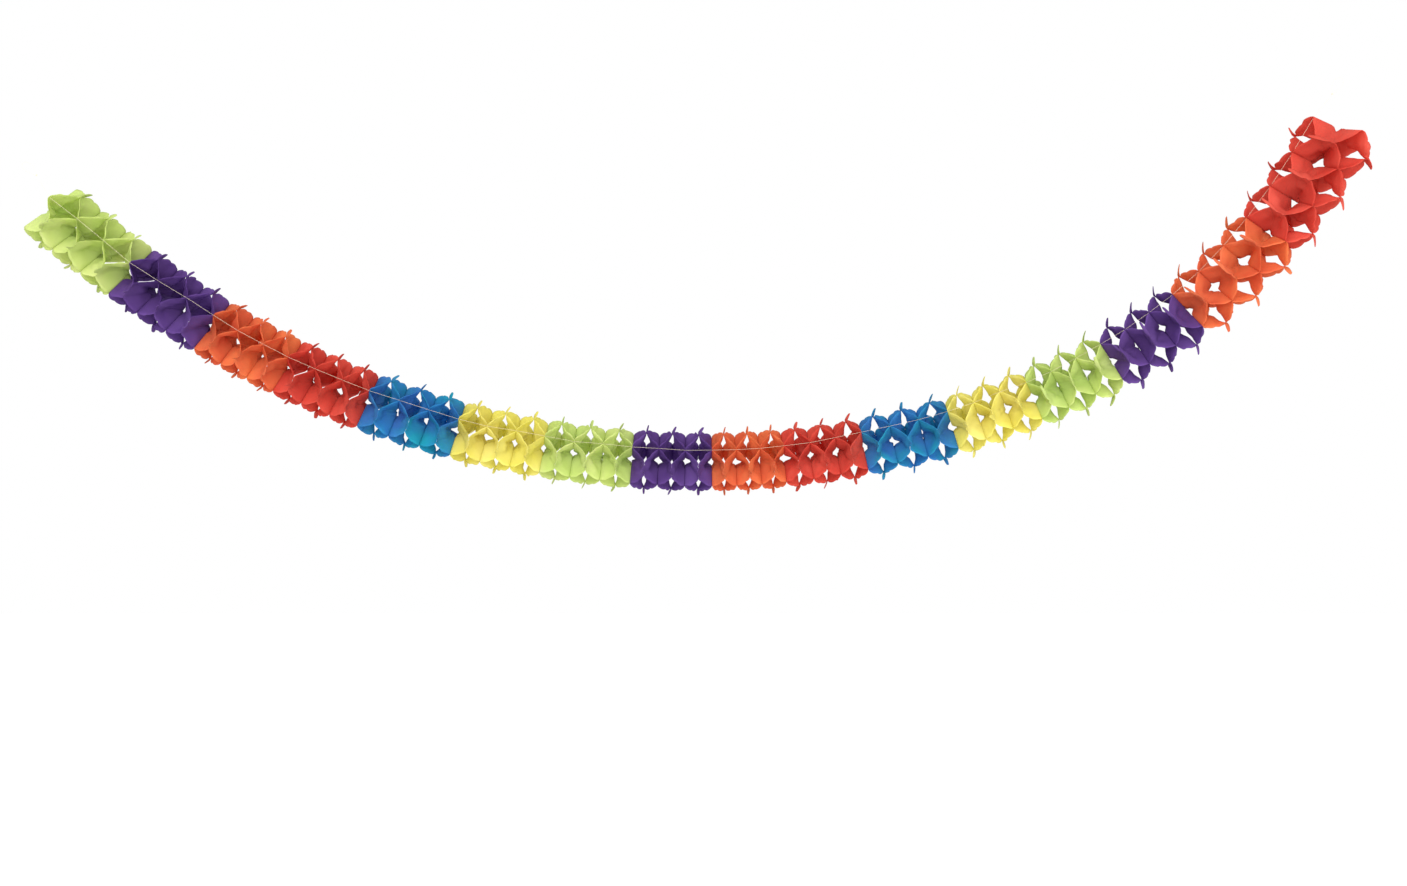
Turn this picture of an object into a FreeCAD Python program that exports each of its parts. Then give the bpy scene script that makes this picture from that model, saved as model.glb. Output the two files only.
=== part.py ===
"""Honeycomb tissue paper garland, hung by its thread from two small loops.

Ninety-six die-cut tissue leaves hang side by side along one curved line. Two
leaves are glued together at their four tongues and make a cell, and each cell
is glued to the next one along four seams that run outwards halfway between the
tongues. Pulled apart, every leaf so becomes a pleated disc. Three cells of one
colour follow each other, in sixteen coloured sections. A thread runs along the
outer ends of the front seams and ends in a tied loop at both ends.

Sizes are in millimetres. X runs along the garland, from its left end to its
right end, Y points to the back and Z up. The origin is the middle of the left
hanging loop.
"""
import FreeCAD, Part
import math
import os
from bisect import bisect_right

from FreeCAD import Vector

# Leaf
DISC_RADIUS = 67.0
TONGUE_TIP_RADIUS = 84.0
TONGUE_ROOT_RADIUS = 64.0
TONGUE_WIDTH = 10.0
SEAM_RADIUS = 60.0
SEAM_INNER_RADIUS = 20.0
PAPER_THICKNESS = 0.4
TONGUES = 4

# How far a leaf leans from its tongues, 0, to its seams, 1
LEAN_AT_TONGUE = 0.0
LEAN_AT_PEAK = 0.3
LEAN_AT_MIDDLE = 0.62
LEAN_AT_SEAM = 1.0

# The top tongue's turn towards the front, about the hanging line
ROLL = 17.0

# Colour and cell length of each section, from left to right
CELLS_PER_SECTION = 3
SECTIONS = (
    ("green", 61.0), ("purple", 61.0), ("orange", 56.0), ("red", 60.0),
    ("blue", 67.0), ("yellow", 65.0), ("green", 67.0), ("purple", 61.0),
    ("orange", 55.0), ("red", 61.0), ("blue", 67.0), ("yellow", 61.0),
    ("green", 58.0), ("purple", 58.0), ("orange", 67.0), ("red", 72.0),
)

# Hanging line
LOW_POINT_DISTANCE = 1485.0
LEFT_SAG = 2330.0
LEFT_LIFT = 68.0
LEFT_LIFT_REACH = 1213.0
LEFT_LIFT_POWER = 4
LEFT_SWING_RADIUS = 3200.0
RIGHT_SAG = 1900.0
RIGHT_LIFT = 152.0
RIGHT_LIFT_REACH = 1255.0
RIGHT_LIFT_POWER = 8
RIGHT_SWING_START = 140.0
RIGHT_SWING_RADIUS = 1600.0
LINE_STEP = 2.0
LINE_SPARE = 400.0

# Thread, its knots and its loops
THREAD_DIAMETER = 0.6
THREAD_CLEARANCE = 0.1
THREAD_SIDES = 6
THREAD_TAIL = 45.0
KNOT_DIAMETER = 3.0
LOOP_LENGTH = 30.0
LOOP_WIDTH = 16.0
LOOP_POINTS = 10
TEARDROP_WIDEST = 4 / (3 * math.sqrt(3))

UP = Vector(0, 0, 1)


def height_on_line(reach):
    """Height of the hanging line over its low point, at a level reach from it."""
    if reach < 0:
        lift = LEFT_LIFT * abs(reach / LEFT_LIFT_REACH) ** LEFT_LIFT_POWER
        return LEFT_SAG * (math.cosh(reach / LEFT_SAG) - 1) + lift
    lift = RIGHT_LIFT * (reach / RIGHT_LIFT_REACH) ** RIGHT_LIFT_POWER
    return RIGHT_SAG * (math.cosh(reach / RIGHT_SAG) - 1) + lift


def point_on_line(reach):
    """Point of the hanging line, which swings gently to the front on both sides."""
    swing_start, swing_radius = 0.0, LEFT_SWING_RADIUS
    if reach > 0:
        swing_start, swing_radius = RIGHT_SWING_START, RIGHT_SWING_RADIUS
    angle = max(0.0, abs(reach) - swing_start) / swing_radius
    along = min(abs(reach), swing_start) + swing_radius * math.sin(angle)
    return Vector(
        math.copysign(along, reach),
        -swing_radius * (1 - math.cos(angle)),
        height_on_line(reach),
    )


def walk(direction, length):
    """Distances along the line from its low point, one for each level step."""
    distances = [0.0]
    here = point_on_line(0)
    while distances[-1] < length:
        there = point_on_line(direction * LINE_STEP * len(distances))
        distances.append(distances[-1] + (there - here).Length)
        here = there
    return distances


def garland_length():
    """Length of all the cells along the hanging line."""
    return sum(CELLS_PER_SECTION * cell_length for _, cell_length in SECTIONS)


LEFT_WALK = walk(-1, LOW_POINT_DISTANCE + LINE_SPARE)
RIGHT_WALK = walk(1, garland_length() - LOW_POINT_DISTANCE + LINE_SPARE)


def reach_at(distance):
    """Level reach of the point that lies so far along the line from the left."""
    beyond = distance - LOW_POINT_DISTANCE
    steps = RIGHT_WALK if beyond > 0 else LEFT_WALK
    index = bisect_right(steps, abs(beyond)) - 1
    share = (abs(beyond) - steps[index]) / (steps[index + 1] - steps[index])
    return math.copysign((index + share) * LINE_STEP, beyond)


def place(distance, radius, degrees):
    """Point at a radius from the line, turned from its top towards the front."""
    reach = reach_at(distance)
    middle = point_on_line(reach)
    along = point_on_line(reach + LINE_STEP) - point_on_line(reach - LINE_STEP)
    along.normalize()
    front = along.cross(UP).normalize()
    top = front.cross(along)
    angle = math.radians(degrees)
    return middle + top * (radius * math.cos(angle)) + front * (radius * math.sin(angle))


def leaf_outline():
    """Radius, angle and lean of the leaf's edge points, tongue by tongue."""
    quarter = 360.0 / TONGUES
    root_turn = math.degrees(math.asin(TONGUE_WIDTH / 2 / TONGUE_ROOT_RADIUS))
    points = []
    for tongue in range(TONGUES):
        turn = ROLL + tongue * quarter
        points += [
            (TONGUE_ROOT_RADIUS, turn - root_turn, LEAN_AT_TONGUE),
            (TONGUE_TIP_RADIUS, turn, LEAN_AT_TONGUE),
            (TONGUE_ROOT_RADIUS, turn + root_turn, LEAN_AT_TONGUE),
            (DISC_RADIUS, turn + quarter / 4, LEAN_AT_PEAK),
            (SEAM_RADIUS, turn + quarter / 2, LEAN_AT_SEAM),
            (DISC_RADIUS, turn + 3 * quarter / 4, LEAN_AT_PEAK),
        ]
    return points


def leaf_inside():
    """Radius, angle and lean of the inner end of each seam, and of the middle."""
    quarter = 360.0 / TONGUES
    seam_starts = [(SEAM_INNER_RADIUS, ROLL + (tongue + 0.5) * quarter, LEAN_AT_SEAM)
                   for tongue in range(TONGUES)]
    return seam_starts + [(0.0, 0.0, LEAN_AT_MIDDLE)]


def leaf_facets():
    """Index triples of one side of the leaf: outline points first, then the inside."""
    per_tongue = len(leaf_outline()) // TONGUES
    outline_count = per_tongue * TONGUES
    middle = outline_count + TONGUES
    facets = []
    for tongue in range(TONGUES):
        left_root, tip, right_root, near_peak, seam, far_peak = range(
            tongue * per_tongue, (tongue + 1) * per_tongue)
        next_root = (tongue + 1) * per_tongue % outline_count
        seam_start = outline_count + tongue
        facets += [
            (left_root, tip, right_root),
            (left_root, right_root, middle),
            (right_root, near_peak, seam_start),
            (near_peak, seam, seam_start),
            (seam, far_peak, seam_start),
            (far_peak, next_root, seam_start),
            (right_root, seam_start, middle),
            (seam_start, next_root, middle),
        ]
    return facets


def faceted_solid(points, triples):
    """Closed solid with flat three-sided faces, each with its corners in triples."""
    faces = []
    for first, second, third in triples:
        corners = [points[first], points[second], points[third]]
        faces.append(Part.Face(Part.makePolygon(corners + corners[:1])))
    shell = Part.makeShell(faces)
    shell.sewShape()
    solid = Part.makeSolid(shell)
    if solid.Volume < 0:
        solid.reverse()
    return solid


def leaf(tongue_distance, seam_distance):
    """One paper leaf, glued at its tongues to one leaf and at its seam to another."""
    towards_seam = math.copysign(1.0, seam_distance - tongue_distance)
    lean_length = seam_distance - tongue_distance - towards_seam * PAPER_THICKNESS
    sheet = leaf_outline() + leaf_inside()
    inner = [place(tongue_distance + lean * lean_length, radius, turn)
             for radius, turn, lean in sheet]
    outer = [place(tongue_distance + lean * lean_length + towards_seam * PAPER_THICKNESS, radius, turn)
             for radius, turn, lean in sheet]
    count = len(sheet)
    edge_count = len(leaf_outline())
    facets = leaf_facets()
    triples = facets + [(third + count, second + count, first + count)
                        for first, second, third in facets]
    for index in range(edge_count):
        after = (index + 1) % edge_count
        triples.append((after, index, index + count))
        triples.append((after, index + count, after + count))
    return faceted_solid(inner + outer, triples)


def tube(centres, tops, diameter):
    """Thread of flat facets through centres; tops point to its first edge."""
    rings = []
    for index, centre in enumerate(centres):
        before = centres[max(index - 1, 0)]
        after = centres[min(index + 1, len(centres) - 1)]
        along = (after - before).normalize()
        side = along.cross(tops[index]).normalize()
        top = side.cross(along)
        for edge in range(THREAD_SIDES):
            angle = 2 * math.pi * edge / THREAD_SIDES
            offset = top * math.cos(angle) + side * math.sin(angle)
            rings.append(centre + offset * (diameter / 2))
    triples = []
    for ring in range(len(centres) - 1):
        for edge in range(THREAD_SIDES):
            here = ring * THREAD_SIDES + edge
            beside = ring * THREAD_SIDES + (edge + 1) % THREAD_SIDES
            triples.append((here, beside, here + THREAD_SIDES))
            triples.append((beside, beside + THREAD_SIDES, here + THREAD_SIDES))
    last = (len(centres) - 1) * THREAD_SIDES
    for edge in range(1, THREAD_SIDES - 1):
        triples.append((0, edge + 1, edge))
        triples.append((last, last + edge, last + edge + 1))
    return faceted_solid(rings, triples)


def thread_point(distance):
    """Point of the thread: just outside the front seams."""
    radius = SEAM_RADIUS + THREAD_CLEARANCE + THREAD_DIAMETER / 2
    return place(distance, radius, ROLL + 180.0 / TONGUES)


def loop_frame(end_distance, outwards):
    """Knot place, outward direction and upward direction of an end loop."""
    knot = thread_point(end_distance + outwards * THREAD_TAIL)
    out = (knot - thread_point(end_distance)).normalize()
    front = out.cross(UP).normalize()
    return knot, out, front.cross(out).normalize(), front


def loop_centre(end_distance, outwards):
    """Middle of an end loop, where a hook or a nail goes through."""
    knot, out, _, _ = loop_frame(end_distance, outwards)
    return knot + out * (LOOP_LENGTH / 2)


def end_loop(end_distance, outwards):
    """Teardrop loop of thread with the knot that closes it."""
    knot, out, top, front = loop_frame(end_distance, outwards)
    centres = []
    for index in range(LOOP_POINTS + 1):
        angle = 2 * math.pi * index / LOOP_POINTS
        outwards_by = LOOP_LENGTH / 2 * (1 - math.cos(angle))
        sideways_by = LOOP_WIDTH / 2 * math.sin(angle) * math.sin(angle / 2) / TEARDROP_WIDEST
        centres.append(knot + out * outwards_by + top * sideways_by)
    loop = tube(centres, [front] * len(centres), THREAD_DIAMETER)
    half = out * (KNOT_DIAMETER / 2)
    knot_body = tube([knot - half, knot + half], [front] * 2, KNOT_DIAMETER)
    return loop.fuse(knot_body)


def hanging_thread(seams):
    """The thread along all front seams, with its two end loops."""
    first, last = seams[0], seams[-1]
    distances = [first - THREAD_TAIL] + seams + [last + THREAD_TAIL]
    centres = [thread_point(distance) for distance in distances]
    run = tube(centres, [UP] * len(centres), THREAD_DIAMETER)
    return run.fuse([end_loop(first, -1), end_loop(last, 1)])


def save(shape, name):
    """Write a sub-part, moved so that the left loop's middle is the origin."""
    shape.translate(loop_centre(0.0, -1) * -1)
    shape.exportStep("parts/" + name + ".step")
    print(name, shape.isValid(), len(shape.Solids), round(shape.Volume, 1))


def build():
    """Make every cell in order along the line, and then the thread."""
    os.makedirs("parts", exist_ok=True)
    seams = [0.0]
    for colour, cell_length in SECTIONS:
        for _ in range(CELLS_PER_SECTION):
            left_seam = seams[-1]
            right_seam = left_seam + cell_length
            tongues = (left_seam + right_seam) / 2
            cell = Part.makeCompound([leaf(tongues, left_seam), leaf(tongues, right_seam)])
            save(cell, "cell_%02d_%s" % (len(seams), colour))
            seams.append(right_seam)
    save(hanging_thread(seams), "hanging_thread")


build()
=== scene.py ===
"""Looks of a honeycomb tissue paper garland that hangs by its thread.

Every leaf is cut as a scalloped disc with four tongues, pleated between the
tongues and the seam spots that hold it, and set on the hanging line of the
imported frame. Lengths are in metres.
"""

import logging
import math
from bisect import bisect_right
from dataclasses import dataclass, field
from enum import Enum
from random import Random

import bmesh
import bpy
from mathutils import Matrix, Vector, noise


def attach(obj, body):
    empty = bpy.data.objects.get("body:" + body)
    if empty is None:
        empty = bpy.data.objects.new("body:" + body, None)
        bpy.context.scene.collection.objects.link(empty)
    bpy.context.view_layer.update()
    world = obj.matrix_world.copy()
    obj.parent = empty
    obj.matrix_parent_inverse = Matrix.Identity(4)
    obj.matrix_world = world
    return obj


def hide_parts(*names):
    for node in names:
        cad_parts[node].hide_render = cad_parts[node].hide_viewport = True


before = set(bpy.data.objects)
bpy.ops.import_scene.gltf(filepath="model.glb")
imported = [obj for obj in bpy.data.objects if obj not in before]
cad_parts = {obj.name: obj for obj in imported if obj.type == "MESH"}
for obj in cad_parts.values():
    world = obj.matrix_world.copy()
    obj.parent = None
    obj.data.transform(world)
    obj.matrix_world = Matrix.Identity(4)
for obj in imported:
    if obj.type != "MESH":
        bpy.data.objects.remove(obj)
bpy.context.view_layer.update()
LOG = logging.getLogger("garland")
UP = Vector((0.0, 0.0, 1.0))
PHOTO_WIDTH, PHOTO_HEIGHT = 1407, 886


class PaperColour(Enum):
    """Colours of the tissue, as the names of their nodes say them."""

    GREEN = "green"
    PURPLE = "purple"
    ORANGE = "orange"
    RED = "red"
    BLUE = "blue"
    YELLOW = "yellow"


class LeafSide(Enum):
    """Side of a cell on which a leaf lies, as a step along the line."""

    LEFT = -1
    RIGHT = 1


def linear(red: int, green: int, blue: int) -> tuple[float, float, float, float]:
    """Turn a colour as a screen shows it into the colour that a shader takes.

    Args:
        red: Red from 0 to 255.
        green: Green from 0 to 255.
        blue: Blue from 0 to 255.

    Returns:
        The linear colour with a full alpha.
    """
    shares = [channel / 255 for channel in (red, green, blue)]
    values = [s / 12.92 if s <= 0.04045 else ((s + 0.055) / 1.055) ** 2.4 for s in shares]
    return (values[0], values[1], values[2], 1.0)


def smooth(share: float) -> float:
    """Ease a share from 0 to 1, level at both ends.

    Args:
        share: Share, held between 0 and 1.

    Returns:
        The eased share.
    """
    held = min(1.0, max(0.0, share))
    return held * held * (3 - 2 * held)


@dataclass(frozen=True)
class TissueFinish:
    """Thin dyed tissue: matte, a little see-through, unevenly dyed, with painted shade towards each
    leaf's middle, and faintly creased.
    """

    paper: tuple[int, int, int]
    tint: tuple[int, int, int]
    # Deep colour, reached by a random tone for each leaf and by painted shade towards each leaf's
    # middle.
    deep_tone_and_shade: tuple[int, int, int]
    glow: float = 0.55
    roughness: float = 0.85
    gloss: float = 0.2
    dye_scale: float = 14.0
    dye_detail: float = 2.0
    tint_starts: float = 0.42
    tint_full: float = 0.68
    crease_scale: float = 60.0
    crease_detail: float = 3.0
    crease_strength: float = 0.35
    crease_depth: float = 0.002
    fibre_scale: float = 900.0
    fibre_detail: float = 2.0
    fibre_strength: float = 0.15
    fibre_depth: float = 0.0003

    def material(self, name: str) -> bpy.types.Material:
        """Build the finish's material.

        Args:
            name: Name of the new material.

        Returns:
            The material, with a principled and a translucent shader.
        """
        material = bpy.data.materials.new(name)
        material.use_nodes = True
        nodes, links = material.node_tree.nodes, material.node_tree.links
        nodes.clear()
        output = nodes.new("ShaderNodeOutputMaterial")
        mix = nodes.new("ShaderNodeMixShader")
        mix.inputs["Fac"].default_value = self.glow
        links.new(mix.outputs["Shader"], output.inputs["Surface"])
        surface = nodes.new("ShaderNodeBsdfPrincipled")
        surface.inputs["Roughness"].default_value = self.roughness
        surface.inputs["Specular IOR Level"].default_value = self.gloss
        links.new(surface.outputs["BSDF"], mix.inputs[1])
        through = nodes.new("ShaderNodeBsdfTranslucent")
        links.new(through.outputs["BSDF"], mix.inputs[2])
        # Dye patches, plus painted shade towards each leaf's middle.
        colour = self._dye_and_shade(nodes, links)
        links.new(colour, surface.inputs["Base Color"])
        links.new(colour, through.inputs["Color"])
        bump = self._bump(nodes, links)
        links.new(bump, surface.inputs["Normal"])
        links.new(bump, through.inputs["Normal"])
        return material

    def _noise(self, nodes: bpy.types.Nodes, links: bpy.types.NodeLinks, scale: float,
               detail: float) -> bpy.types.NodeSocket:
        """Add a noise pattern on object coordinates.

        Args:
            nodes: Nodes of the material.
            links: Links of the material.
            scale: Scale of the noise.
            detail: Detail of the noise.

        Returns:
            The noise's value socket.
        """
        place = nodes.new("ShaderNodeTexCoord")
        pattern = nodes.new("ShaderNodeTexNoise")
        pattern.inputs["Scale"].default_value = scale
        pattern.inputs["Detail"].default_value = detail
        links.new(place.outputs["Object"], pattern.inputs["Vector"])
        return pattern.outputs["Fac"]

    def _dye_and_shade(self, nodes: bpy.types.Nodes, links: bpy.types.NodeLinks) -> bpy.types.NodeSocket:
        """Mix the paper's colour with its tint in soft patches, then move it towards its deep
        colour by a random tone for each leaf and by painted shade towards the leaf's middle.

        Args:
            nodes: Nodes of the material.
            links: Links of the material.

        Returns:
            The colour socket.
        """
        patches = nodes.new("ShaderNodeMapRange")
        patches.inputs["From Min"].default_value = self.tint_starts
        patches.inputs["From Max"].default_value = self.tint_full
        dye = self._noise(nodes, links, self.dye_scale, self.dye_detail)
        links.new(dye, patches.inputs["Value"])
        tinted = nodes.new("ShaderNodeMix")
        tinted.data_type = "RGBA"
        tinted.inputs[6].default_value = linear(*self.paper)
        tinted.inputs[7].default_value = linear(*self.tint)
        links.new(patches.outputs["Result"], tinted.inputs["Factor"])
        # Painted shade: this attribute holds a random tone for each leaf plus darkening towards the
        # leaf's middle, inside the cell.
        tone_and_shade = nodes.new("ShaderNodeAttribute")
        tone_and_shade.attribute_name = Leaf.TONE_AND_SHADE
        toned_and_shaded = nodes.new("ShaderNodeMix")
        toned_and_shaded.data_type = "RGBA"
        toned_and_shaded.inputs[7].default_value = linear(*self.deep_tone_and_shade)
        links.new(tinted.outputs[2], toned_and_shaded.inputs[6])
        links.new(tone_and_shade.outputs["Fac"], toned_and_shaded.inputs["Factor"])
        return toned_and_shaded.outputs[2]

    def _bump(self, nodes: bpy.types.Nodes, links: bpy.types.NodeLinks) -> bpy.types.NodeSocket:
        """Raise soft creases and fine fibres.

        Args:
            nodes: Nodes of the material.
            links: Links of the material.

        Returns:
            The normal socket.
        """
        creases = nodes.new("ShaderNodeBump")
        creases.inputs["Strength"].default_value = self.crease_strength
        creases.inputs["Distance"].default_value = self.crease_depth
        folds = self._noise(nodes, links, self.crease_scale, self.crease_detail)
        links.new(folds, creases.inputs["Height"])
        fibres = nodes.new("ShaderNodeBump")
        fibres.inputs["Strength"].default_value = self.fibre_strength
        fibres.inputs["Distance"].default_value = self.fibre_depth
        grain = self._noise(nodes, links, self.fibre_scale, self.fibre_detail)
        links.new(grain, fibres.inputs["Height"])
        links.new(creases.outputs["Normal"], fibres.inputs["Normal"])
        return fibres.outputs["Normal"]


@dataclass(frozen=True)
class ThreadFinish:
    """Pale twisted thread with a soft sheen."""

    light: tuple[int, int, int] = (236, 222, 196)
    dark: tuple[int, int, int] = (204, 186, 160)
    roughness: float = 0.7
    twist_scale: float = 700.0
    twist_unevenness: float = 1.5

    def material(self, name: str) -> bpy.types.Material:
        """Build the thread's material.

        Args:
            name: Name of the new material.

        Returns:
            The material.
        """
        material = bpy.data.materials.new(name)
        material.use_nodes = True
        nodes, links = material.node_tree.nodes, material.node_tree.links
        surface = nodes["Principled BSDF"]
        surface.inputs["Roughness"].default_value = self.roughness
        place = nodes.new("ShaderNodeTexCoord")
        twist = nodes.new("ShaderNodeTexWave")
        twist.bands_direction = "DIAGONAL"
        twist.inputs["Scale"].default_value = self.twist_scale
        twist.inputs["Distortion"].default_value = self.twist_unevenness
        links.new(place.outputs["Object"], twist.inputs["Vector"])
        colour = nodes.new("ShaderNodeMix")
        colour.data_type = "RGBA"
        colour.inputs[6].default_value = linear(*self.dark)
        colour.inputs[7].default_value = linear(*self.light)
        links.new(twist.outputs["Fac"], colour.inputs["Factor"])
        links.new(colour.outputs[2], surface.inputs["Base Color"])
        return material


# For each tissue: paper colour, tint of its dye patches, and the deep colour that random tone and
# painted shade towards each leaf's middle lead to.
TISSUES = {
    PaperColour.GREEN: TissueFinish((212, 223, 144), (224, 228, 164), (178, 206, 112)),
    PaperColour.PURPLE: TissueFinish((114, 80, 154), (128, 94, 168), (96, 62, 132)),
    PaperColour.ORANGE: TissueFinish((226, 124, 82), (234, 146, 92), (216, 100, 72)),
    PaperColour.RED: TissueFinish((218, 88, 72), (228, 108, 90), (198, 68, 62)),
    PaperColour.BLUE: TissueFinish((56, 144, 200), (38, 172, 190), (96, 108, 194)),
    PaperColour.YELLOW: TissueFinish((232, 226, 124), (237, 231, 150), (224, 209, 100)),
}


@dataclass(frozen=True)
class LineHalf:
    """How one half of the hanging line sags, lifts to its end and swings to the front."""

    sag: float
    lift: float
    lift_reach: float
    lift_power: int
    swing_start: float
    swing_radius: float

    def height(self, reach: float) -> float:
        """Give the height over the low point at a level reach from it."""
        hung = self.sag * (math.cosh(reach / self.sag) - 1)
        return hung + self.lift * (reach / self.lift_reach) ** self.lift_power

    def swung(self, reach: float) -> tuple[float, float]:
        """Give how far a level reach goes sideways and how far to the front."""
        angle = max(0.0, reach - self.swing_start) / self.swing_radius
        along = min(reach, self.swing_start) + self.swing_radius * math.sin(angle)
        return along, self.swing_radius * (1 - math.cos(angle))


@dataclass(frozen=True)
class HangingLine:
    """The curved line on which the leaves hang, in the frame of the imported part."""

    low_point: Vector = Vector((1.314589, 0.340937, -0.573335))
    low_point_distance: float = 1.485
    length: float = 2.991
    left: LineHalf = LineHalf(2.33, 0.068, 1.213, 4, 0.0, 3.2)
    right: LineHalf = LineHalf(1.9, 0.152, 1.255, 8, 0.14, 1.6)
    end_roll: float = math.radians(17)
    rolls: tuple[tuple[float, float], ...] = (
        (0.0, 31), (0.45, 25), (0.9, 18), (1.5, 17), (1.95, 11), (2.3, 8), (2.7, 3))
    roll_wander: float = math.radians(6)
    roll_wander_scale: float = 9.0
    step: float = 0.002
    spare: float = 0.4
    _walks: dict[int, list[float]] = field(default_factory=dict)

    ROLL_WANDER_PLACE = (3.7, 1.3)

    def point(self, reach: float) -> Vector:
        """Find a point by its level reach from the low point.

        Args:
            reach: Level reach, negative to the left.

        Returns:
            The point.
        """
        half = self.left if reach < 0 else self.right
        along, away = half.swung(abs(reach))
        over = half.height(abs(reach))
        return self.low_point + Vector((math.copysign(along, reach), -away, over))

    def _walk(self, direction: int) -> list[float]:
        """List the distances from the low point for each level step one way."""
        if direction not in self._walks:
            length = self.spare + (self.low_point_distance if direction < 0
                                   else self.length - self.low_point_distance)
            distances, here = [0.0], self.point(0.0)
            while distances[-1] < length:
                there = self.point(direction * self.step * len(distances))
                distances.append(distances[-1] + (there - here).length)
                here = there
            self._walks[direction] = distances
        return self._walks[direction]

    def reach(self, distance: float) -> float:
        """Find the level reach of a point.

        Args:
            distance: Distance along the line from the left seam of the first cell.

        Returns:
            Level reach from the low point.
        """
        beyond = distance - self.low_point_distance
        steps = self._walk(1 if beyond > 0 else -1)
        index = bisect_right(steps, abs(beyond)) - 1
        share = (abs(beyond) - steps[index]) / (steps[index + 1] - steps[index])
        return math.copysign((index + share) * self.step, beyond)

    def axes(self, distance: float) -> tuple[Vector, Vector, Vector]:
        """Find the middle of the line and the two directions across it.

        Args:
            distance: Distance along the line from its left end.

        Returns:
            Middle, direction to the top and direction to the front.
        """
        reach = self.reach(distance)
        along = (self.point(reach + self.step) - self.point(reach - self.step)).normalized()
        front = along.cross(UP).normalized()
        return self.point(reach), front.cross(along), front

    def roll(self, distance: float) -> float:
        """Find the top tongue's turn to the front, as the hanging garland twists a little.

        Args:
            distance: Distance along the line from its left end.

        Returns:
            The turn in radians.
        """
        roll = self.rolls[0][1]
        for (start, turn), (end, next_turn) in zip(self.rolls, self.rolls[1:]):
            roll += (next_turn - turn) * smooth((distance - start) / (end - start))
        wander = noise.noise(Vector((distance * self.roll_wander_scale, *self.ROLL_WANDER_PLACE)))
        return math.radians(roll) + self.roll_wander * wander

    def place(self, distance: float, radius: float, turn: float) -> Vector:
        """Place a point around the line.

        Args:
            distance: Distance along the line from its left end.
            radius: Radius from the line.
            turn: Turn in radians from the top towards the front.

        Returns:
            The point.
        """
        middle, top, front = self.axes(distance)
        return middle + top * (radius * math.cos(turn)) + front * (radius * math.sin(turn))


@dataclass
class TonguePull:
    """How the glued pair of tongues of one cell is bent, twisted, raised and held flat."""

    bend: float
    twist: float
    rise: float
    hold: float


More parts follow.
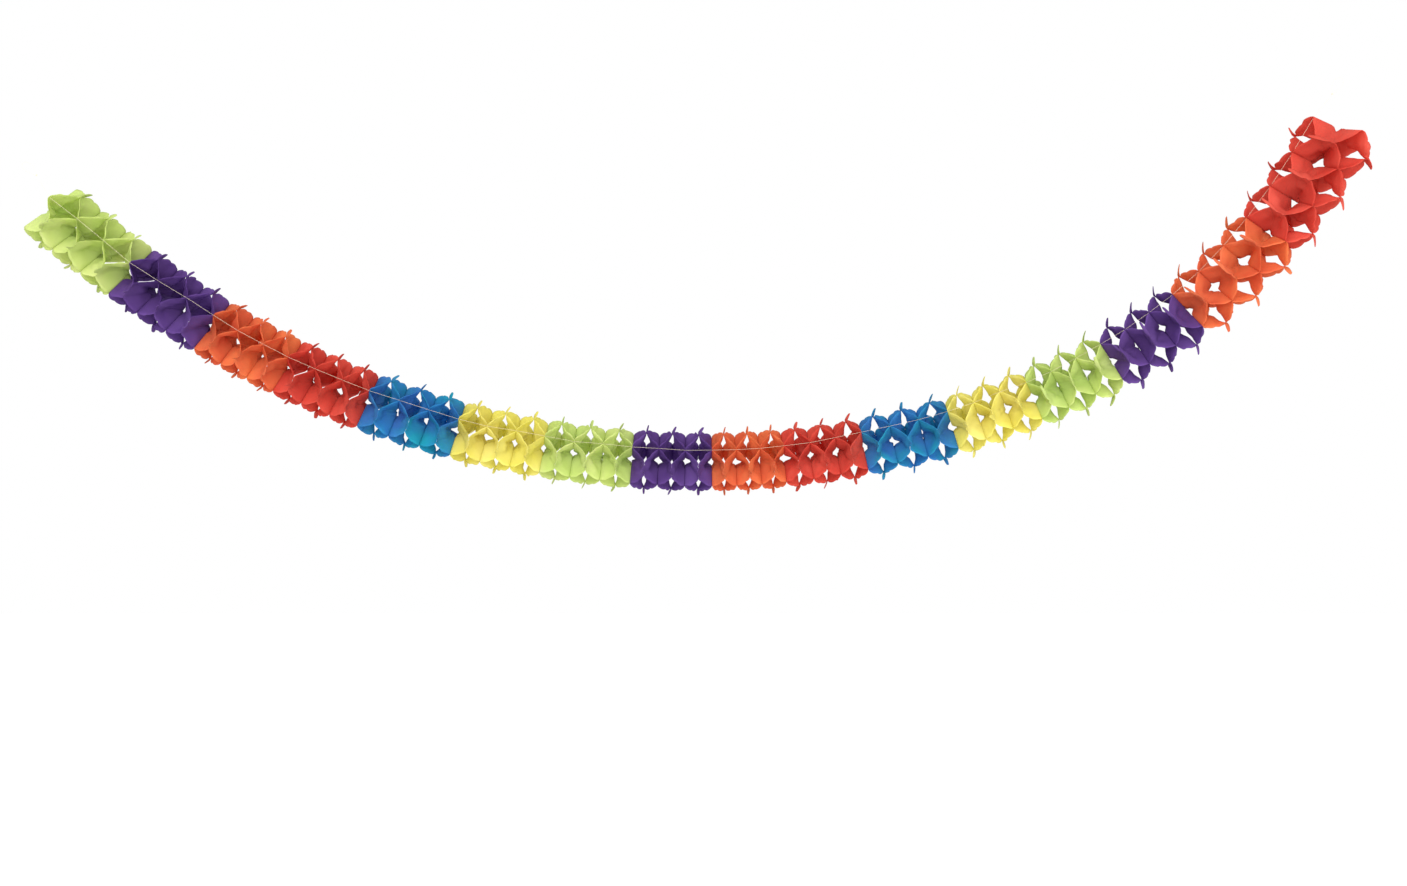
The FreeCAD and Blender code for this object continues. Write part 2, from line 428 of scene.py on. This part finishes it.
@dataclass
class Leaf:
    """One die-cut tissue leaf."""

    line: HangingLine
    side: LeafSide
    tongue_distance: float
    seam_distance: float
    pulls: list[TonguePull]
    seed: int
    middle_lean: float
    tongue_line_lean: float
    disc_radius: float = 0.0675
    scallop_root: float = 0.0640
    scallop_rise: float = 0.0036
    seam_scallop_rise: float = 0.0050
    seam_radius: float = 0.0575
    thread_seam_radius: float = 0.060
    glue_radius: float = 0.064
    tongue_tip: float = 0.083
    tongue_half_turn: float = math.radians(7.5)
    seam_hold: float = math.radians(3.0)
    tongue_line_bend: float = 0.034
    seam_line_start: float = 0.020
    thickness: float = 0.0002
    wander: float = 0.34
    middle_wander: float = 0.75
    edge_wear: float = 0.0014
    edge_wear_scale: float = 120.0
    scallop_power: float = 0.6
    scallop_reach_power: int = 4
    fold_power: float = 1.25
    bend_power: float = 1.4
    crumple_scale: float = 38.0
    fine_crumple_scale: float = 85.0
    fine_crumple: float = 0.4
    most_base_tone: float = 0.3
    # Painted shade: darkening towards the leaf's middle, deep inside the cell, out to this radius.
    painted_middle_shade: float = 0.25
    painted_middle_shade_radius: float = 0.05
    steps_round: int = 120
    rings: int = 10

    # Attribute holding a random tone for each leaf plus painted shade towards its middle.
    TONE_AND_SHADE = "tone_and_shade"
    QUARTER = math.pi / 2
    TONGUE_STEPS = ((0.12, 0.62), (0.35, 0.42), (0.62, 0.31), (0.92, 0.22), (1.0, 0.1))
    TWIST_RISE = 1.7
    WORN_STEP = (1.7, 0.6)
    CRUMPLE_SPREAD = 50
    RIM_SLACK = 1.001

    def build(self, name: str) -> bpy.types.Object:
        """Cut, pleat and hang the leaf.

        Args:
            name: Name of the new piece.

        Returns:
            The piece.
        """
        sheet = bmesh.new()
        self._cut_disc(sheet)
        self._draw_tongues(sheet)
        self._scallop(sheet)
        self._thicken(sheet)
        self._hang(sheet)
        bmesh.ops.recalc_face_normals(sheet, faces=sheet.faces)
        for face in sheet.faces:
            face.smooth = True
        mesh = bpy.data.meshes.new(name)
        sheet.to_mesh(mesh)
        sheet.free()
        piece = bpy.data.objects.new(name, mesh)
        bpy.context.scene.collection.objects.link(piece)
        return piece

    def _cut_disc(self, sheet: bmesh.types.BMesh) -> None:
        """Make a flat disc of rings, turned so that each tongue is a whole number of steps wide."""
        ring_width = self.disc_radius / self.rings
        bmesh.ops.create_circle(sheet, cap_ends=True, cap_tris=True, segments=self.steps_round,
                                radius=ring_width)
        half_step = math.pi / self.steps_round
        for vert in sheet.verts:
            vert.co = Vector((
                vert.co.x * math.cos(half_step) - vert.co.y * math.sin(half_step),
                vert.co.x * math.sin(half_step) + vert.co.y * math.cos(half_step), 0.0))
        for ring in range(1, self.rings):
            edges = [edge for edge in sheet.edges if edge.is_boundary]
            grown = bmesh.ops.extrude_edge_only(sheet, edges=edges)["geom"]
            for vert in (item for item in grown if isinstance(item, bmesh.types.BMVert)):
                vert.co *= (ring + 1) / ring

    def _tongue_turn(self, point: Vector) -> tuple[int, float]:
        """Find the nearest tongue of a point and the turn away from it.

        Args:
            point: Point of the flat leaf.

        Returns:
            The tongue's number and the signed turn in radians.
        """
        turn = math.atan2(point.y, point.x)
        tongue = round(turn / self.QUARTER)
        return tongue % 4, turn - tongue * self.QUARTER

    def _draw_tongues(self, sheet: bmesh.types.BMesh) -> None:
        """Draw the tongues out of the rim in steps, narrower to a rounded end."""
        edges = [edge for edge in sheet.edges if edge.is_boundary
                 and abs(self._tongue_turn((edge.verts[0].co + edge.verts[1].co) / 2)[1])
                 < self.tongue_half_turn]
        length = self.tongue_tip - self.disc_radius
        width = 1.0
        for share, next_width in self.TONGUE_STEPS:
            grown = bmesh.ops.extrude_edge_only(sheet, edges=edges)["geom"]
            verts = {item for item in grown if isinstance(item, bmesh.types.BMVert)}
            edges = [item for item in grown if isinstance(item, bmesh.types.BMEdge)
                     and all(vert in verts for vert in item.verts)]
            for vert in verts:
                turn = self._tongue_turn(vert.co)[0] * self.QUARTER
                out = Vector((math.cos(turn), math.sin(turn), 0.0))
                across = Vector((-out.y, out.x, 0.0))
                sideways = vert.co.dot(across) * next_width / width
                vert.co = out * (self.disc_radius + share * length) + across * sideways
            width = next_width

    def _edge_radius(self, turn: float, seam_radius: float) -> float:
        """Find the scalloped edge's radius, with two scallops from tongue to seam.

        Args:
            turn: Turn away from the nearest tongue, in radians.
            seam_radius: Radius of the edge at the seam spot.

        Returns:
            Radius of the edge.
        """
        share = (abs(turn) - self.tongue_half_turn) / (self.QUARTER / 2 - self.tongue_half_turn)
        share = min(1.0, max(0.0, share))
        along = (share * 2) % 1.0 if share < 1.0 else 1.0
        arch = (4 * along * (1 - along)) ** self.scallop_power
        root = self.scallop_root - (self.scallop_root - seam_radius) * max(0.0, share * 2 - 1)
        return root + (self.scallop_rise if share < 0.5 else self.seam_scallop_rise) * arch

    def _scallop(self, sheet: bmesh.types.BMesh) -> None:
        """Pull the outer rings in to the scalloped and slightly uneven edge."""
        worn = Vector((self.seed * self.WORN_STEP[0], self.seed * self.WORN_STEP[1], 0.0))
        for vert in sheet.verts:
            radius = vert.co.length
            if radius == 0.0 or radius > self.disc_radius * self.RIM_SLACK:
                continue
            _, turn = self._tongue_turn(vert.co)
            thread_seam = vert.co.x > 0 and vert.co.y > 0
            seam_radius = self.thread_seam_radius if thread_seam else self.seam_radius
            edge = self._edge_radius(turn, seam_radius)
            rim_place = vert.co * (self.edge_wear_scale / radius * self.seam_radius)
            edge += self.edge_wear * noise.noise(rim_place + worn)
            reach = (radius / self.disc_radius) ** self.scallop_reach_power
            vert.co *= 1 + (edge / self.disc_radius - 1) * reach

    def _thicken(self, sheet: bmesh.types.BMesh) -> None:
        """Give the flat leaf its second face, one unit above the first for now."""
        grown = bmesh.ops.extrude_face_region(sheet, geom=list(sheet.faces))["geom"]
        verts = [item for item in grown if isinstance(item, bmesh.types.BMVert)]
        bmesh.ops.translate(sheet, verts=verts, vec=UP)

    def _tongue_line(self, radius: float) -> float:
        """Find the lean on the line from the middle out to a tongue."""
        inner = smooth(radius / self.tongue_line_bend)
        lean = self.middle_lean + (self.tongue_line_lean - self.middle_lean) * inner
        return lean * (1 - self._closing(radius))

    def _closing(self, radius: float) -> float:
        """Find how far a cell's two leaves have closed on the line out to a tongue."""
        return min(1.0, max(0.0, (radius - self.tongue_line_bend)
                            / (self.glue_radius - self.tongue_line_bend)))

    def _seam_line(self, radius: float) -> float:
        """Find the lean on the line from the middle out to a seam spot."""
        return self.middle_lean + (1 - self.middle_lean) * smooth(radius / self.seam_line_start)

    def _lean(self, tongue: int, tongue_turn: float, radius: float, wobble: float) -> float:
        """Find how far a point leans from the tongues' plane, 0, to the seam's, 1.

        Args:
            tongue: Number of the nearest tongue.
            tongue_turn: Turn away from that tongue, in radians.
            radius: Radius of the point.
            wobble: Unevenness of the paper at the point, about -1 to 1.

        Returns:
            The lean, from 0 to 1.
        """
        hold = self.pulls[tongue].hold
        free = self.QUARTER / 2 - hold - self.seam_hold
        share = min(1.0, max(0.0, (abs(tongue_turn) - hold) / free))
        rise = share ** self.fold_power
        low, high = self._tongue_line(radius), self._seam_line(radius)
        glued_tongue = (1 - share) * self._closing(radius)
        glued_seam = share ** 2 * smooth(radius / self.seam_line_start)
        lean = low + (high - low) * rise
        inwards = smooth(1 - radius / self.tongue_line_bend)
        wander = self.wander + (self.middle_wander - self.wander) * inwards
        lean += wobble * wander * (1 - max(glued_tongue, glued_seam))
        return min(1.0, max(0.0, lean))

    def _hang(self, sheet: bmesh.types.BMesh) -> None:
        """Set every point on the hanging line, pleated, and note its random tone and painted shade.
        """
        tone_and_shade = sheet.verts.layers.float.new(self.TONE_AND_SHADE)
        rng = Random(self.seed)
        offset = Vector([rng.uniform(0, self.CRUMPLE_SPREAD) for _ in range(3)])
        base_tone = rng.uniform(0.0, self.most_base_tone)
        way = self.side.value
        lean_length = abs(self.seam_distance - self.tongue_distance) - self.thickness
        for vert in sheet.verts:
            layer = vert.co.z
            flat = Vector((vert.co.x, vert.co.y, 0.0))
            radius = flat.length
            tongue, turn = self._tongue_turn(flat)
            wobble = (noise.noise(flat * self.crumple_scale + offset)
                      + self.fine_crumple * noise.noise(flat * self.fine_crumple_scale + offset))
            lean = self._lean(tongue, turn, radius, wobble)
            distance = self.tongue_distance + way * (lean * lean_length + layer * self.thickness)
            around = self.line.roll(distance) + math.atan2(flat.y, flat.x)
            if radius > self.glue_radius:
                pull = self.pulls[tongue]
                out = (radius - self.glue_radius) / (self.tongue_tip - self.glue_radius)
                near = min(1.0, max(0.0, 2 - abs(turn) / self.tongue_half_turn))
                twist = pull.twist * min(1.0, self.TWIST_RISE * out)
                bent = out ** self.bend_power
                distance += near * (pull.bend * bent + twist * turn * radius)
                around -= near * pull.rise * bent
            # Random tone for the leaf, plus painted shade that darkens the paper towards its
            # middle.
            inner = max(0.0, 1 - radius / self.painted_middle_shade_radius)
            vert[tone_and_shade] = min(1.0, base_tone + self.painted_middle_shade * inner)
            vert.co = self.line.place(distance, radius, around)


@dataclass
class Cell:
    """Two leaves glued at their tongues."""

    line: HangingLine
    number: int
    colour: PaperColour
    left_seam: float
    right_seam: float
    bends: tuple[tuple[float, float], ...] = (
        (0.002, 0.013), (-0.008, 0.008), (-0.010, 0.005), (-0.008, 0.008))
    steep_bends: tuple[float, ...] = (0.007, 0.0, -0.008, 0.0)
    steep_rises: tuple[float, ...] = (0.0, 24.0, 0.0, 0.0)
    steep_rise_spread: tuple[float, float] = (0.7, 1.3)
    holds: tuple[tuple[float, float], ...] = ((2, 5), (11, 18), (2, 5), (11, 18))
    most_twist: float = 1.3
    twist_spread: tuple[float, float] = (0.4, 1.0)
    middle_lean: tuple[float, float] = (0.56, 0.82)
    tongue_line_lean: tuple[float, float] = (0.28, 0.40)
    steep_from: float = 2.0
    steep_reach: float = 0.4
    steep_middle_lean: float = 0.15
    steep_tongue_line_lean: float = -0.06

    FIRST_SEED = 1000
    LEAF_SEED_STEP = 10

    @property
    def node(self) -> str:
        """Name of the cell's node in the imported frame."""
        return f"cell_{self.number:02d}_{self.colour.value}"

    def build(self, finish: bpy.types.Material) -> list[bpy.types.Object]:
        """Build and dress the cell's two leaves.

        Args:
            finish: Material of the tissue.

        Returns:
            The two leaves.
        """
        rng = Random(self.FIRST_SEED + self.number)
        middle = (self.left_seam + self.right_seam) / 2
        steep = smooth((middle - self.steep_from) / self.steep_reach)
        pulls = [TonguePull(rng.uniform(*bend) + steep * steep_bend,
                            rng.choice((-1, 1)) * rng.uniform(*self.twist_spread) * self.most_twist,
                            math.radians(steep * steep_rise * rng.uniform(*self.steep_rise_spread)),
                            math.radians(rng.uniform(*hold)))
                 for bend, steep_bend, steep_rise, hold
                 in zip(self.bends, self.steep_bends, self.steep_rises, self.holds)]
        leaves = []
        for side, seam in ((LeafSide.LEFT, self.left_seam), (LeafSide.RIGHT, self.right_seam)):
            seed = self.LEAF_SEED_STEP * self.number + side.value
            leaf = Leaf(self.line, side, middle, seam, pulls, seed,
                        rng.uniform(*self.middle_lean) + steep * self.steep_middle_lean,
                        rng.uniform(*self.tongue_line_lean) + steep * self.steep_tongue_line_lean)
            piece = leaf.build(f"leaf_{self.number:02d}_{side.name.lower()}_{self.colour.value}")
            piece.data.materials.append(finish)
            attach(piece, "root")
            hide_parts(self.node)
            leaves.append(piece)
        return leaves


@dataclass
class Thread:
    """The thread along the front seam spots, with a knotted loop at both ends."""

    line: HangingLine
    seams: list[float]
    radius: float = 0.00022
    roundness: int = 2
    way_radius: float = 0.0604
    way_turn: float = math.radians(45)
    tail: float = 0.045
    loop_length: float = 0.030
    loop_width: float = 0.016
    loop_steps: int = 48
    knot_radius: float = 0.0011
    knot_steps: int = 60
    knot_lobe: float = 0.45
    knot_depth: float = 0.8
    direction_step: float = 0.001

    def _curve(self, name: str, points: list[Vector], closed: bool = False) -> bpy.types.Object:
        """Make a round thread through points.

        Args:
            name: Name of the piece.
            points: Points that the thread passes.
            closed: Whether its ends meet.

        Returns:
            The piece, as a mesh.
        """
        curve = bpy.data.curves.new(name, "CURVE")
        curve.dimensions = "3D"
        curve.bevel_depth = self.radius
        curve.bevel_resolution = self.roundness
        curve.use_fill_caps = True
        spline = curve.splines.new("POLY")
        spline.points.add(len(points) - 1)
        for place, point in zip(spline.points, points):
            place.co = (*point, 1.0)
        spline.use_cyclic_u = closed
        piece = bpy.data.objects.new(name, curve)
        bpy.context.scene.collection.objects.link(piece)
        return piece

    def _at(self, distance: float) -> Vector:
        """Find the thread's point at a distance along the line."""
        on_paper = self.seams[0] <= distance <= self.seams[-1]
        roll = self.line.roll(distance) if on_paper else self.line.end_roll
        return self.line.place(distance, self.way_radius, roll + self.way_turn)

    def _end(self, end: float, outwards: int) -> tuple[Vector, Vector, Vector]:
        """Find how the thread leaves the paper.

        Args:
            end: Distance of the paper's end along the line.
            outwards: Step out of the paper along the line, -1 or 1.

        Returns:
            The knot, the thread's way out and the way up across it.
        """
        knot = self._at(end + outwards * self.tail)
        beyond = self._at(end + outwards * (self.tail + self.direction_step))
        out = (beyond - knot).normalized()
        front = out.cross(UP).normalized()
        return knot, out, front.cross(out).normalized()

    def _loop(self, end: float, outwards: int) -> list[Vector]:
        """List the points of a teardrop loop.

        Args:
            end: Distance of the paper's end along the line.
            outwards: Step out of the paper along the line, -1 or 1.

        Returns:
            The points, from the knot around and back.
        """
        knot, out, top = self._end(end, outwards)
        widest = 4 / (3 * math.sqrt(3))
        points = []
        for index in range(self.loop_steps):
            angle = 2 * math.pi * index / self.loop_steps
            outwards_by = self.loop_length / 2 * (1 - math.cos(angle))
            sideways_by = self.loop_width / 2 * math.sin(angle) * math.sin(angle / 2) / widest
            points.append(knot + out * outwards_by + top * sideways_by)
        return points

    def _knot(self, end: float, outwards: int) -> list[Vector]:
        """List the points of a small overhand knot.

        Args:
            end: Distance of the paper's end along the line.
            outwards: Step out of the paper along the line, -1 or 1.

        Returns:
            The points, as a closed trefoil.
        """
        knot, out, top = self._end(end, outwards)
        side = out.cross(top)
        points = []
        for index in range(self.knot_steps):
            angle = 2 * math.pi * index / self.knot_steps
            wide = self.knot_radius * (1 + self.knot_lobe * math.cos(3 * angle))
            across = top * (wide * math.cos(2 * angle)) + side * (wide * math.sin(2 * angle))
            points.append(knot + across
                          + out * (self.knot_depth * self.knot_radius * math.sin(3 * angle)))
        return points

    def build(self, finish: bpy.types.Material) -> list[bpy.types.Object]:
        """Build and dress the thread.

        Args:
            finish: Material of the thread.

        Returns:
            The thread's run, loops and knots.
        """
        first, last = self.seams[0], self.seams[-1]
        distances = [first - self.tail] + self.seams + [last + self.tail]
        pieces = [self._curve("thread_run", [self._at(distance) for distance in distances])]
        for label, end, outwards in (("left", first, -1), ("right", last, 1)):
            pieces.append(self._curve(f"thread_loop_{label}", self._loop(end, outwards), True))
            pieces.append(self._curve(f"thread_knot_{label}", self._knot(end, outwards), True))
        for piece in pieces:
            piece.data.materials.append(finish)
            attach(piece, "root")
            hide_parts("hanging_thread")
        return pieces


@dataclass
class Garland:
    """All the coloured sections of the garland and its thread."""

    line: HangingLine = field(default_factory=HangingLine)
    cells_per_section: int = 3
    sections: tuple[tuple[PaperColour, float], ...] = (
        (PaperColour.GREEN, 0.061), (PaperColour.PURPLE, 0.061), (PaperColour.ORANGE, 0.056),
        (PaperColour.RED, 0.060), (PaperColour.BLUE, 0.067), (PaperColour.YELLOW, 0.065),
        (PaperColour.GREEN, 0.067), (PaperColour.PURPLE, 0.061), (PaperColour.ORANGE, 0.055),
        (PaperColour.RED, 0.061), (PaperColour.BLUE, 0.067), (PaperColour.YELLOW, 0.061),
        (PaperColour.GREEN, 0.058), (PaperColour.PURPLE, 0.058), (PaperColour.ORANGE, 0.067),
        (PaperColour.RED, 0.072),
    )

    def build(self) -> None:
        """Build every cell from left to right, and then the thread."""
        finishes = {colour: tissue.material(f"tissue_paper_{colour.value}")
                    for colour, tissue in TISSUES.items()}
        seams = [0.0]
        for colour, cell_length in self.sections:
            for _ in range(self.cells_per_section):
                cell = Cell(self.line, len(seams), colour, seams[-1], seams[-1] + cell_length)
                for leaf in cell.build(finishes[colour]):
                    LOG.info("%s: %d faces", leaf.name, len(leaf.data.polygons))
                seams.append(seams[-1] + cell_length)
        for piece in Thread(self.line, seams).build(ThreadFinish().material("thread_fibre")):
            LOG.info("%s", piece.name)


@dataclass(frozen=True)
class Lamp:
    """A large square lamp, by its place from the garland's low point."""

    name: str
    offset: tuple[float, float, float]
    size: float
    watts: float


@dataclass
class Studio:
    """Pale floor, white surroundings, soft lamps and the camera of the photograph."""

    line: HangingLine
    camera_away: float = 2.2
    camera_focal_px: float = 960.0
    camera_left: float = 0.01
    camera_over: float = 0.043
    floor_below: float = 1.6
    floor_size: float = 14.0
    floor_colour: tuple[float, float, float, float] = (0.8, 0.8, 0.8, 1.0)
    floor_roughness: float = 0.9
    floor_glow: float = 0.4
    sensor: float = 36.0
    lamps: tuple[Lamp, ...] = (Lamp("key", (-0.6, -3.0, 1.2), 2.6, 110.0),
                               Lamp("fill", (1.6, -2.4, 0.0), 2.6, 50.0))
    lamp_target: tuple[float, float, float] = (0.0, 0.0, 0.2)
    world_strength: float = 1.0

    WHITE = (1.0, 1.0, 1.0, 1.0)

    def build(self) -> None:
        """Set up the camera, the floor, the surroundings and the lamps."""
        self._camera()
        self._floor()
        self._surroundings()
        for lamp in self.lamps:
            self._hang(lamp)
        bpy.context.scene.view_settings.view_transform = "Standard"

    def _camera(self) -> None:
        """Put a level camera in front of the garland's low point."""
        data = bpy.data.cameras.new("camera")
        data.sensor_width = self.sensor
        data.lens = self.sensor * self.camera_focal_px / PHOTO_WIDTH
        camera = bpy.data.objects.new("camera", data)
        offset = Vector((-self.camera_left, -self.camera_away, self.camera_over))
        camera.location = self.line.low_point + offset
        camera.rotation_euler = (math.radians(90), 0, 0)
        bpy.context.scene.collection.objects.link(camera)
        bpy.context.scene.camera = camera

    def _white_to_camera(self, nodes: bpy.types.Nodes,
                         links: bpy.types.NodeLinks) -> bpy.types.NodeSocket:
        """Give a factor of 1 for rays from the camera, from gloss and through glass.

        Args:
            nodes: Nodes of the material or the world.
            links: Links of the material or the world.

        Returns:
            The factor's socket.
        """
        path = nodes.new("ShaderNodeLightPath")
        glossy = nodes.new("ShaderNodeMath")
        glossy.operation = "MAXIMUM"
        links.new(path.outputs["Is Camera Ray"], glossy.inputs[0])
        links.new(path.outputs["Is Glossy Ray"], glossy.inputs[1])
        both = nodes.new("ShaderNodeMath")
        both.operation = "MAXIMUM"
        links.new(glossy.outputs[0], both.inputs[0])
        links.new(path.outputs["Is Transmission Ray"], both.inputs[1])
        return both.outputs[0]

    def _floor(self) -> None:
        """Lay a pale floor well under the hanging garland."""
        bm = bmesh.new()
        bmesh.ops.create_grid(bm, x_segments=1, y_segments=1, size=self.floor_size / 2)
        bmesh.ops.translate(bm, verts=bm.verts, vec=self.line.low_point - UP * self.floor_below)
        mesh = bpy.data.meshes.new("floor")
        bm.to_mesh(mesh)
        bm.free()
        floor = bpy.data.objects.new("floor", mesh)
        bpy.context.scene.collection.objects.link(floor)
        material = bpy.data.materials.new("pale_floor")
        material.use_nodes = True
        nodes, links = material.node_tree.nodes, material.node_tree.links
        output, matte = nodes["Material Output"], nodes["Principled BSDF"]
        matte.inputs["Base Color"].default_value = self.floor_colour
        matte.inputs["Roughness"].default_value = self.floor_roughness
        glow = nodes.new("ShaderNodeEmission")
        glow.inputs["Strength"].default_value = self.floor_glow
        both = nodes.new("ShaderNodeAddShader")
        links.new(matte.outputs["BSDF"], both.inputs[0])
        links.new(glow.outputs["Emission"], both.inputs[1])
        mix = nodes.new("ShaderNodeMixShader")
        links.new(self._white_to_camera(nodes, links), mix.inputs["Fac"])
        links.new(matte.outputs["BSDF"], mix.inputs[1])
        links.new(both.outputs["Shader"], mix.inputs[2])
        links.new(mix.outputs["Shader"], output.inputs["Surface"])
        mesh.materials.append(material)

    def _surroundings(self) -> None:
        """Make the world white to the camera and a plain soft light to the paper."""
        world = bpy.data.worlds.new("studio")
        bpy.context.scene.world = world
        world.use_nodes = True
        nodes, links = world.node_tree.nodes, world.node_tree.links
        light = nodes["Background"]
        light.inputs["Color"].default_value = self.WHITE
        light.inputs["Strength"].default_value = self.world_strength
        white = nodes.new("ShaderNodeBackground")
        white.inputs["Color"].default_value = self.WHITE
        white.inputs["Strength"].default_value = 1.0
        mix = nodes.new("ShaderNodeMixShader")
        links.new(self._white_to_camera(nodes, links), mix.inputs["Fac"])
        links.new(light.outputs["Background"], mix.inputs[1])
        links.new(white.outputs["Background"], mix.inputs[2])
        links.new(mix.outputs["Shader"], nodes["World Output"].inputs["Surface"])

    def _hang(self, lamp: Lamp) -> None:
        """Hang a lamp that points at the garland.

        Args:
            lamp: The lamp.
        """
        data = bpy.data.lights.new(lamp.name, "AREA")
        data.size = lamp.size
        data.energy = lamp.watts
        piece = bpy.data.objects.new(lamp.name, data)
        piece.location = self.line.low_point + Vector(lamp.offset)
        target = self.line.low_point + Vector(self.lamp_target)
        piece.rotation_euler = (target - piece.location).to_track_quat("-Z", "Y").to_euler()
        bpy.context.scene.collection.objects.link(piece)


def main() -> None:
    """Build the garland and its studio."""
    logging.basicConfig(level=logging.INFO, format="%(message)s")
    garland = Garland()
    garland.build()
    Studio(garland.line).build()


if __name__ == "__main__":
    main()
